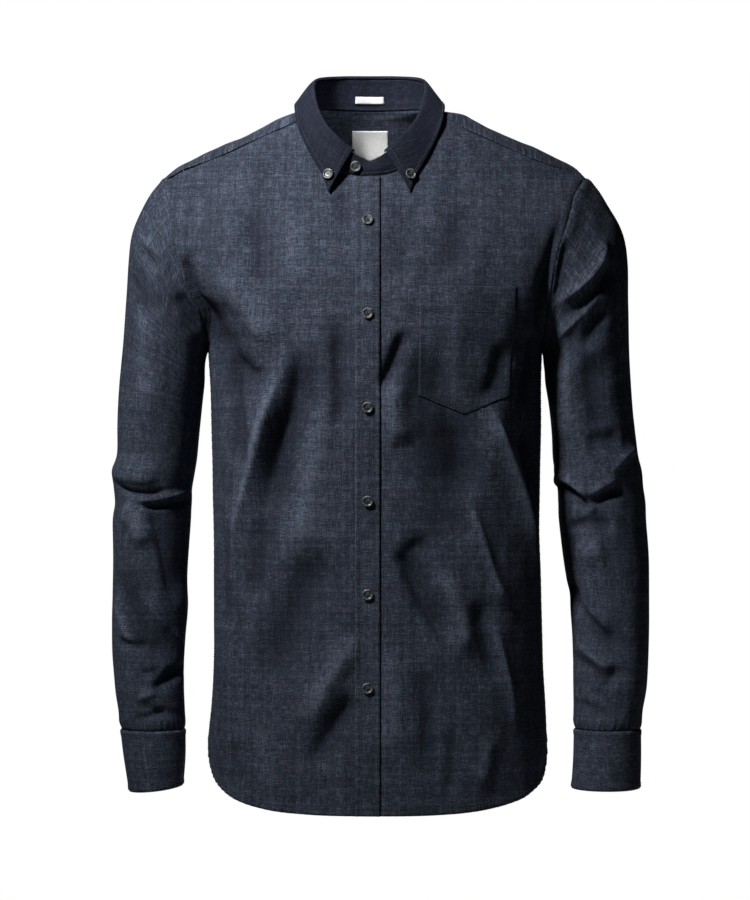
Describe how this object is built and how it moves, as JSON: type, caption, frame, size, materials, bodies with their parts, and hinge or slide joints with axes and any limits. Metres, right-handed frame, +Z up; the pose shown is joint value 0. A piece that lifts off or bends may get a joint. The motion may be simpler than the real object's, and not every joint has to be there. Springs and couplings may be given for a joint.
{
  "type": "denim shirt",
  "caption": "Long-sleeved denim shirt with a button-down collar, chest pocket, buttoned cuffs and shirt-tail hem, filled out as worn but hollow.",
  "frame": {"origin": "midway between the shoulders, at the height of the neck's base, where a wearer's shoulders hold the shirt", "axes": "+Z is up, +X is towards the wearer's left arm, and the front with its buttons faces -Y"},
  "size_m": [0.5746, 0.2374, 0.7882],
  "materials": {
    "denim": "dark indigo slub denim, matt",
    "collar_denim": "dark indigo denim, pressed, matt",
    "label": "plain white woven tape",
    "button": "smoky grey, semi-gloss"
  },
  "bodies": {
    "root": {"front_right": "denim", "front_left": "denim", "placket": "denim", "yoke": "denim", "back": "denim", "pocket": "denim", "sleeve_right": "denim", "sleeve_left": "denim", "sleeve_placket_right": "denim", "sleeve_placket_left": "denim", "cuff_right": "denim", "cuff_left": "denim", "collar_stand": "collar_denim", "collar": "collar_denim", "neck_label": "label", "band_label": "label", "front_button_1": "button", "front_button_2": "button", "front_button_3": "button", "front_button_4": "button", "front_button_5": "button", "front_button_6": "button", "collar_button_right": "button", "collar_button_left": "button", "stand_button": "button", "cuff_button_right": "button", "cuff_button_left": "button"}
  },
  "joints": []
}
